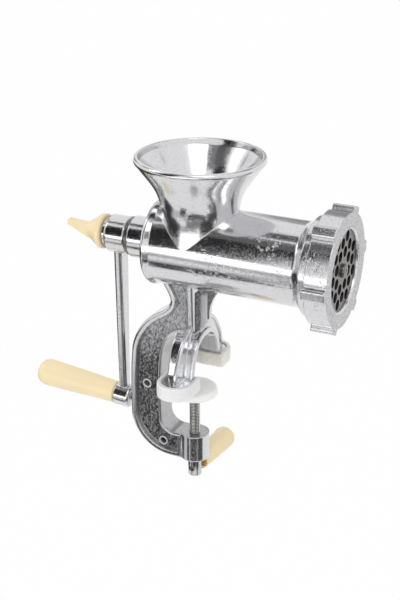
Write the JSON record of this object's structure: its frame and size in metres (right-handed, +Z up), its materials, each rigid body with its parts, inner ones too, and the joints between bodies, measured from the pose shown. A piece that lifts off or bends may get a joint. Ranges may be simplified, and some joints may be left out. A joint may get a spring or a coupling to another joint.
{
  "type": "hand crank meat grinder",
  "caption": "Hand crank meat grinder with a trumpet hopper, a feed worm in a barrel, a cutting plate behind a lugged ring, a hanging crank and a table clamp.",
  "frame": {"origin": "on the clamp screw's axis, in the plane of the two jaw pads' undersides, where the table top lies", "axes": "+Z up along the clamp screw, +X along the barrel towards the outlet plate, +Y to the side of the rear jaw pad"},
  "size_m": [0.247, 0.1024, 0.2564],
  "materials": {
    "cast_aluminium": "polished casting",
    "steel": "ground",
    "zinc_steel": "zinc plated",
    "cream_plastic": "smooth moulded",
    "clear_plastic": "milky moulded",
    "washer_plastic": "plain"
  },
  "bodies": {
    "housing": {"body_casting": "cast_aluminium", "rear_bush": "steel", "plate_key_pin": "steel", "jaw_pad_front": "clear_plastic", "jaw_pad_rear": "clear_plastic"},
    "worm": {"worm": "cast_aluminium", "thrust_washer": "washer_plastic", "cross_knife": "steel"},
    "crank": {"crank_arm": "cast_aluminium", "grip_spindle": "steel"},
    "crank_grip": {"crank_grip": "cream_plastic"},
    "thumb_screw": {"thumb_screw_stud": "steel", "thumb_screw_knob": "cream_plastic"},
    "plate": {"hole_plate": "steel"},
    "ring": {"ring_nut": "cast_aluminium"},
    "clamp_foot": {"clamp_disc": "clear_plastic"},
    "clamp_screw": {"clamp_screw": "zinc_steel", "clamp_lever_rod": "zinc_steel", "lever_pin": "zinc_steel", "clamp_lever_grip": "cream_plastic"}
  },
  "joints": [
    {"name": "worm_turn", "type": "hinge", "parent": "housing", "child": "worm", "pos_m": [0, 0, 0.1025], "axis": [1, 0, 0], "continuous": true},
    {"name": "crank_pull", "type": "slide", "parent": "worm", "child": "crank", "axis": [-1, 0, 0], "range_m": [0, 0.01]},
    {"name": "thumb_screw_turn", "type": "hinge", "parent": "crank", "child": "thumb_screw", "pos_m": [-0.075, 0, 0.1025], "axis": [-1, 0, 0], "range_deg": [0, 2890]},
    {"name": "grip_spin", "type": "hinge", "parent": "crank", "child": "crank_grip", "pos_m": [-0.0593, 0, -0.0295], "axis": [0.9976, 0, -0.0698], "continuous": true},
    {"name": "plate_slide", "type": "slide", "parent": "housing", "child": "plate", "axis": [1, 0, 0], "range_m": [0, 0.0091]},
    {"name": "ring_turn", "type": "hinge", "parent": "plate", "child": "ring", "pos_m": [0.1, 0, 0.1025], "axis": [1, 0, 0], "range_deg": [0, 1080]},
    {"name": "clamp_lift", "type": "slide", "parent": "housing", "child": "clamp_foot", "axis": [0, 0, 1], "range_m": [-0.0251, 0]},
    {"name": "clamp_screw_turn", "type": "hinge", "parent": "clamp_foot", "child": "clamp_screw", "pos_m": [0, 0, -0.05], "axis": [0, 0, 1], "range_deg": [-7200, 0]}
  ],
  "couplings": [
    {"joint": "thumb_screw_turn", "follows": "crank_pull", "rad_per_m": 5026.5},
    {"joint": "plate_slide", "follows": "ring_turn", "m_per_rad": 0.00047746},
    {"joint": "clamp_lift", "follows": "clamp_screw_turn", "m_per_rad": 0.00019894}
  ]
}
